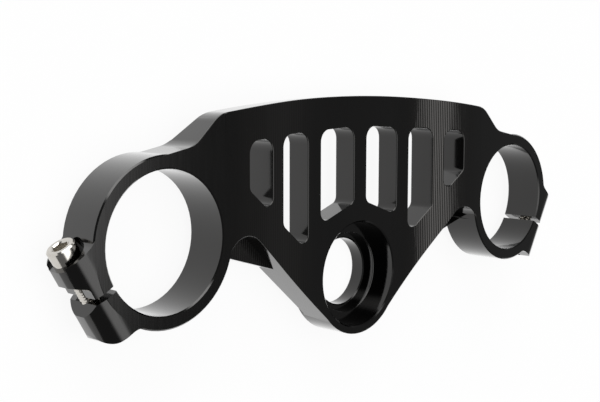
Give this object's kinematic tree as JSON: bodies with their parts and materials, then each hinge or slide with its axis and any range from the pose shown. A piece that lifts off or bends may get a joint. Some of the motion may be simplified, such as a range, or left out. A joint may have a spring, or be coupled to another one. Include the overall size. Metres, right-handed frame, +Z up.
{
  "type": "motorcycle upper triple clamp",
  "caption": "Milled upper fork clamp with split fork rings, pinch screws, a recessed steering stem bore and lightening slots.",
  "frame": {"origin": "on the axis of the steering stem bore, at the underside of the stem boss", "axes": "+Z up along the bores, +X from the stem to the right-hand fork clamp, +Y towards the arched edge"},
  "size_m": [0.2902, 0.0983, 0.0215],
  "materials": {
    "black_anodised": "satin black anodised, milled",
    "stainless": "polished stainless"
  },
  "bodies": {
    "root": {"clamp_body": "black_anodised", "pinch_bolt_left": "stainless", "pinch_bolt_right": "stainless"}
  },
  "joints": []
}
